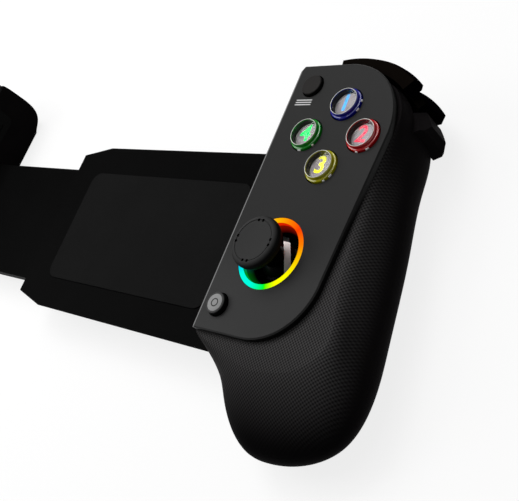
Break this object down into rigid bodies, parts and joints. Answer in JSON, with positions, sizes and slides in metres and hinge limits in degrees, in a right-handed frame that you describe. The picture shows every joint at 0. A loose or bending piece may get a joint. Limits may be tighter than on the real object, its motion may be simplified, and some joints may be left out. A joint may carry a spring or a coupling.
{
  "type": "mobile game controller",
  "caption": "Telescopic two-grip game controller that clamps a phone, with thumbsticks, face buttons, direction pad, bumpers and triggers.",
  "frame": {"origin": "on the surface the controller lies on, under the middle of its outline", "axes": "+X along its length towards the right grip, +Y towards the bumpers, +Z out of the faceplates"},
  "size_m": [0.2624, 0.1075, 0.0318],
  "materials": {
    "shell_black": "fine textured",
    "plate_grey": "satin",
    "gloss_black": "polished",
    "bridge_black": "satin",
    "soft_black": "matte",
    "light_guide": "frosted, lit",
    "cap_blue": "translucent",
    "cap_red": "translucent",
    "cap_yellow": "translucent",
    "cap_green": "translucent",
    "clear_lens": "polished",
    "disc_grey": "satin",
    "board_green": "solder mask",
    "steel": "plated",
    "inner_white": "moulded",
    "cell_silver": "foil",
    "ribbon_amber": "film"
  },
  "bodies": {
    "root": {"right_front_shell": "shell_black", "right_back_shell": "shell_black", "right_faceplate": "plate_grey", "right_light_ring": "light_guide", "right_clamp_pad": "soft_black", "right_board": "board_green", "right_button_mat": "soft_black", "right_shell_screws": "steel", "right_stick_module": "inner_white", "right_bumper_pin": "steel", "right_trigger_pin": "steel", "right_trigger_spring": "steel", "battery": "cell_silver", "charge_port": "steel", "bridge_front_cover": "bridge_black", "bridge_back_cover": "bridge_black", "bridge_screws": "steel", "phone_rest": "soft_black", "return_springs": "steel", "link_cable": "ribbon_amber"},
    "left_grip": {"left_front_shell": "shell_black", "left_back_shell": "shell_black", "left_faceplate": "plate_grey", "left_light_ring": "light_guide", "left_clamp_pad": "soft_black", "left_board": "board_green", "left_button_mat": "soft_black", "left_shell_screws": "steel", "left_stick_module": "inner_white", "left_bumper_pin": "steel", "left_trigger_pin": "steel", "left_trigger_spring": "steel", "bridge_tongue": "bridge_black"},
    "start_key": {"start_button": "soft_black"},
    "home_key": {"home_button": "disc_grey"},
    "select_key": {"select_button": "soft_black"},
    "capture_key": {"capture_button": "disc_grey"},
    "pad_rocker": {"direction_pad_pivot": "inner_white"},
    "pad_key": {"direction_pad": "plate_grey"},
    "top_key": {"top_button": "cap_blue", "top_button_lens": "clear_lens"},
    "right_key": {"right_button": "cap_red", "right_button_lens": "clear_lens"},
    "bottom_key": {"bottom_button": "cap_yellow", "bottom_button_lens": "clear_lens"},
    "left_key": {"left_button": "cap_green", "left_button_lens": "clear_lens"},
    "right_yoke": {"right_stick_yoke": "inner_white"},
    "right_rocker": {"right_stick_rocker": "inner_white"},
    "right_stick": {"right_stick_stem": "soft_black", "right_stick_cap": "soft_black"},
    "right_bumper_key": {"right_bumper": "gloss_black"},
    "right_trigger_lever": {"right_trigger": "gloss_black"},
    "left_yoke": {"left_stick_yoke": "inner_white"},
    "left_rocker": {"left_stick_rocker": "inner_white"},
    "left_stick": {"left_stick_stem": "soft_black", "left_stick_cap": "soft_black"},
    "left_bumper_key": {"left_bumper": "gloss_black"},
    "left_trigger_lever": {"left_trigger": "gloss_black"}
  },
  "joints": [
    {"name": "left_grip_slide", "type": "slide", "parent": "root", "child": "left_grip", "axis": [1, 0, 0], "range_m": [-0.022, 0.05], "deforming": ["return_springs", "link_cable"]},
    {"name": "top_button_press", "type": "slide", "parent": "root", "child": "top_key", "axis": [0, 0, -1], "range_m": [0, 0.0008], "stiffness_N_per_m": 500},
    {"name": "right_button_press", "type": "slide", "parent": "root", "child": "right_key", "axis": [0, 0, -1], "range_m": [0, 0.0008], "stiffness_N_per_m": 500},
    {"name": "bottom_button_press", "type": "slide", "parent": "root", "child": "bottom_key", "axis": [0, 0, -1], "range_m": [0, 0.0008], "stiffness_N_per_m": 500},
    {"name": "left_button_press", "type": "slide", "parent": "root", "child": "left_key", "axis": [0, 0, -1], "range_m": [0, 0.0008], "stiffness_N_per_m": 500},
    {"name": "start_button_press", "type": "slide", "parent": "root", "child": "start_key", "axis": [0, 0, -1], "range_m": [0, 0.0006], "stiffness_N_per_m": 500},
    {"name": "home_button_press", "type": "slide", "parent": "root", "child": "home_key", "axis": [0, 0, -1], "range_m": [0, 0.0006], "stiffness_N_per_m": 500},
    {"name": "select_button_press", "type": "slide", "parent": "left_grip", "child": "select_key", "axis": [0, 0, -1], "range_m": [0, 0.0006], "stiffness_N_per_m": 500},
    {"name": "capture_button_press", "type": "slide", "parent": "left_grip", "child": "capture_key", "axis": [0, 0, -1], "range_m": [0, 0.0006], "stiffness_N_per_m": 500},
    {"name": "right_stick_tilt_y", "type": "hinge", "parent": "root", "child": "right_yoke", "pos_m": [0.099, -0.0066, 0.016], "axis": [1, 0, 0], "range_deg": [-15, 15], "stiffness_Nm_per_rad": 0.02},
    {"name": "right_stick_tilt_x", "type": "hinge", "parent": "right_yoke", "child": "right_rocker", "pos_m": [0.099, -0.0066, 0.016], "axis": [0, 1, 0], "range_deg": [-15, 15], "stiffness_Nm_per_rad": 0.02},
    {"name": "right_stick_click", "type": "slide", "parent": "right_rocker", "child": "right_stick", "axis": [0, 0, -1], "range_m": [0, 0.00035], "stiffness_N_per_m": 500},
    {"name": "right_trigger_pull", "type": "hinge", "parent": "root", "child": "right_trigger_lever", "pos_m": [0.11027, 0.0441, 0.0115], "axis": [-0.91, 0.4147, 0], "range_deg": [0, 16], "stiffness_Nm_per_rad": 0.02},
    {"name": "right_bumper_press", "type": "hinge", "parent": "root", "child": "right_bumper_key", "pos_m": [0.09748, 0.04841, 0.02], "axis": [0, 0, -1], "range_deg": [0, 2], "stiffness_Nm_per_rad": 0.6},
    {"name": "left_stick_tilt_y", "type": "hinge", "parent": "left_grip", "child": "left_yoke", "pos_m": [-0.1041, 0.0275, 0.016], "axis": [1, 0, 0], "range_deg": [-15, 15], "stiffness_Nm_per_rad": 0.02},
    {"name": "left_stick_tilt_x", "type": "hinge", "parent": "left_yoke", "child": "left_rocker", "pos_m": [-0.1041, 0.0275, 0.016], "axis": [0, 1, 0], "range_deg": [-15, 15], "stiffness_Nm_per_rad": 0.02},
    {"name": "left_stick_click", "type": "slide", "parent": "left_rocker", "child": "left_stick", "axis": [0, 0, -1], "range_m": [0, 0.00035], "stiffness_N_per_m": 500},
    {"name": "left_trigger_pull", "type": "hinge", "parent": "left_grip", "child": "left_trigger_lever", "pos_m": [-0.11027, 0.0441, 0.0115], "axis": [-0.91, -0.4147, 0], "range_deg": [0, 16], "stiffness_Nm_per_rad": 0.02},
    {"name": "left_bumper_press", "type": "hinge", "parent": "left_grip", "child": "left_bumper_key", "pos_m": [-0.09748, 0.04841, 0.02], "axis": [0, 0, 1], "range_deg": [0, 2], "stiffness_Nm_per_rad": 0.6},
    {"name": "direction_pad_tilt_y", "type": "hinge", "parent": "left_grip", "child": "pad_rocker", "pos_m": [-0.099, -0.0066, 0.0174], "axis": [1, 0, 0], "range_deg": [-3.5, 3.5], "stiffness_Nm_per_rad": 0.03},
    {"name": "direction_pad_tilt_x", "type": "hinge", "parent": "pad_rocker", "child": "pad_key", "pos_m": [-0.099, -0.0066, 0.0174], "axis": [0, 1, 0], "range_deg": [-3.5, 3.5], "stiffness_Nm_per_rad": 0.03}
  ]
}
